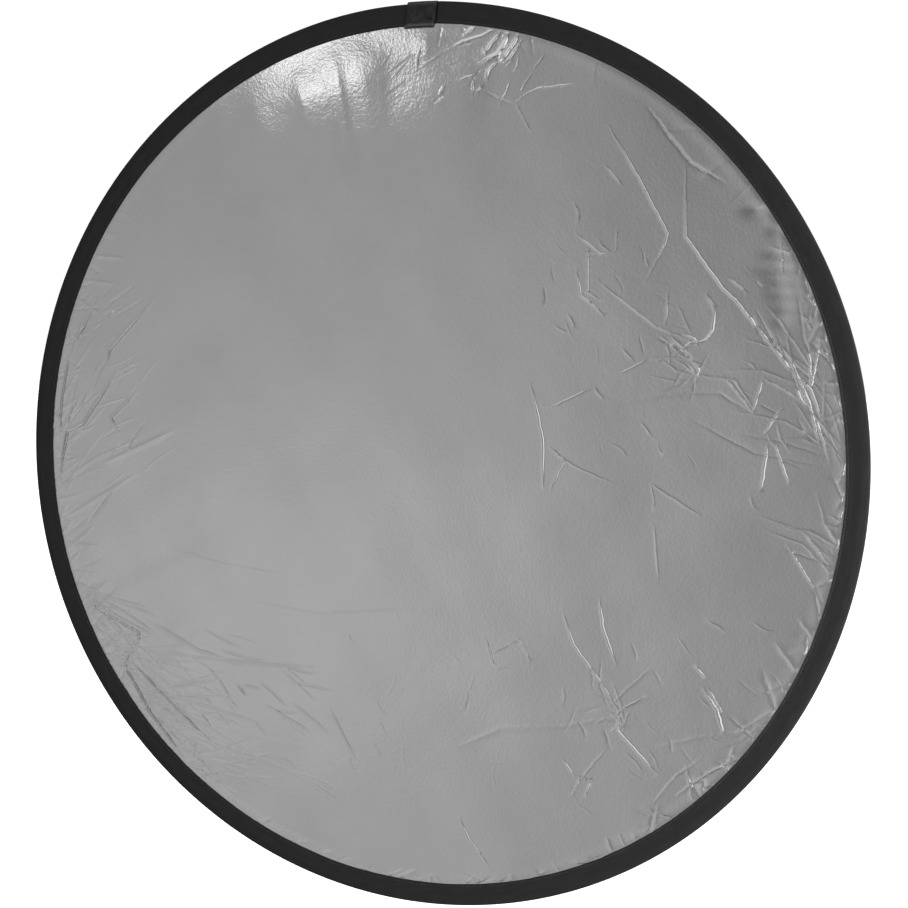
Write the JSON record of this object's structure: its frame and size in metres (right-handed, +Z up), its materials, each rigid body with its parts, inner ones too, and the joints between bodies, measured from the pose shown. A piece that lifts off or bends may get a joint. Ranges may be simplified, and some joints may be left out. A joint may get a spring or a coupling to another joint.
{
  "type": "collapsible reflector disc",
  "caption": "Round two-sided studio reflector, silver and white fabric on a spring steel hoop in a black edge tape, that folds like a taco.",
  "frame": {"origin": "centre of the disc, midway between the silver and the white fabric", "axes": "+Y along the disc's axis towards the white side (the silver face looks along -Y), +Z up through the top of the rim beside the end tab, +X to the right as the silver face is seen"},
  "size_m": [1.07, 0.011, 1.071],
  "materials": {
    "silver_fabric": "metallised satin nylon, smooth, with soft fold creases",
    "white_fabric": "matt white nylon",
    "binding_tape": "black woven nylon tape with a slight sheen",
    "spring_steel": "blued and oiled",
    "sleeve_steel": "zinc plated, pressed",
    "rivet_metal": "satin",
    "thread": "twisted polyester sewing thread, black",
    "tab_webbing": "black textured webbing, slightly worn"
  },
  "bodies": {
    "left_outer": {"silver_panel_left_outer": "silver_fabric", "white_panel_left_outer": "white_fabric", "edge_binding_left_outer": "binding_tape", "spring_hoop_left_outer": "spring_steel", "seam_thread_left_outer": "thread"},
    "left_mid": {"silver_panel_left_mid": "silver_fabric", "white_panel_left_mid": "white_fabric", "edge_binding_top_left_mid": "binding_tape", "spring_hoop_top_left_mid": "spring_steel", "edge_binding_bottom_left_mid": "binding_tape", "spring_hoop_bottom_left_mid": "spring_steel", "seam_thread_left_mid": "thread"},
    "left_inner": {"silver_panel_left_inner": "silver_fabric", "white_panel_left_inner": "white_fabric", "edge_binding_top_left_inner": "binding_tape", "spring_hoop_top_left_inner": "spring_steel", "edge_binding_bottom_left_inner": "binding_tape", "spring_hoop_bottom_left_inner": "spring_steel", "seam_thread_left_inner": "thread"},
    "middle": {"silver_panel_middle": "silver_fabric", "white_panel_middle": "white_fabric", "edge_binding_top_middle": "binding_tape", "spring_hoop_left_end": "spring_steel", "spring_hoop_right_end": "spring_steel", "edge_binding_bottom_middle": "binding_tape", "spring_hoop_bottom_middle": "spring_steel", "seam_thread_middle": "thread", "hoop_joint_sleeve": "sleeve_steel", "hoop_rivet_left": "rivet_metal", "hoop_rivet_right": "rivet_metal", "end_tab": "tab_webbing", "tab_stitching": "thread"},
    "right_inner": {"silver_panel_right_inner": "silver_fabric", "white_panel_right_inner": "white_fabric", "edge_binding_top_right_inner": "binding_tape", "spring_hoop_top_right_inner": "spring_steel", "edge_binding_bottom_right_inner": "binding_tape", "spring_hoop_bottom_right_inner": "spring_steel", "seam_thread_right_inner": "thread"},
    "right_mid": {"silver_panel_right_mid": "silver_fabric", "white_panel_right_mid": "white_fabric", "edge_binding_top_right_mid": "binding_tape", "spring_hoop_top_right_mid": "spring_steel", "edge_binding_bottom_right_mid": "binding_tape", "spring_hoop_bottom_right_mid": "spring_steel", "seam_thread_right_mid": "thread"},
    "right_outer": {"silver_panel_right_outer": "silver_fabric", "white_panel_right_outer": "white_fabric", "edge_binding_right_outer": "binding_tape", "spring_hoop_right_outer": "spring_steel", "seam_thread_right_outer": "thread"}
  },
  "joints": [
    {"name": "fold_right_inner", "type": "hinge", "parent": "middle", "child": "right_inner", "pos_m": [0.07643, 0, 0], "axis": [0, 0, 1], "range_deg": [-50, 50], "stiffness_Nm_per_rad": 1.5},
    {"name": "fold_right_mid", "type": "hinge", "parent": "right_inner", "child": "right_mid", "pos_m": [0.22929, 0, 0], "axis": [0, 0, 1], "range_deg": [-50, 50], "stiffness_Nm_per_rad": 1.5},
    {"name": "fold_right_outer", "type": "hinge", "parent": "right_mid", "child": "right_outer", "pos_m": [0.38214, 0, 0], "axis": [0, 0, 1], "range_deg": [-50, 50], "stiffness_Nm_per_rad": 1.5},
    {"name": "fold_left_inner", "type": "hinge", "parent": "middle", "child": "left_inner", "pos_m": [-0.07643, 0, 0], "axis": [0, 0, 1], "range_deg": [-50, 50], "stiffness_Nm_per_rad": 1.5},
    {"name": "fold_left_mid", "type": "hinge", "parent": "left_inner", "child": "left_mid", "pos_m": [-0.22929, 0, 0], "axis": [0, 0, 1], "range_deg": [-50, 50], "stiffness_Nm_per_rad": 1.5},
    {"name": "fold_left_outer", "type": "hinge", "parent": "left_mid", "child": "left_outer", "pos_m": [-0.38214, 0, 0], "axis": [0, 0, 1], "range_deg": [-50, 50], "stiffness_Nm_per_rad": 1.5}
  ],
  "couplings": [
    {"joint": "fold_right_mid", "follows": "fold_right_inner", "ratio": 1},
    {"joint": "fold_right_outer", "follows": "fold_right_inner", "ratio": 1},
    {"joint": "fold_left_inner", "follows": "fold_right_inner", "ratio": -1},
    {"joint": "fold_left_mid", "follows": "fold_right_inner", "ratio": -1},
    {"joint": "fold_left_outer", "follows": "fold_right_inner", "ratio": -1}
  ]
}
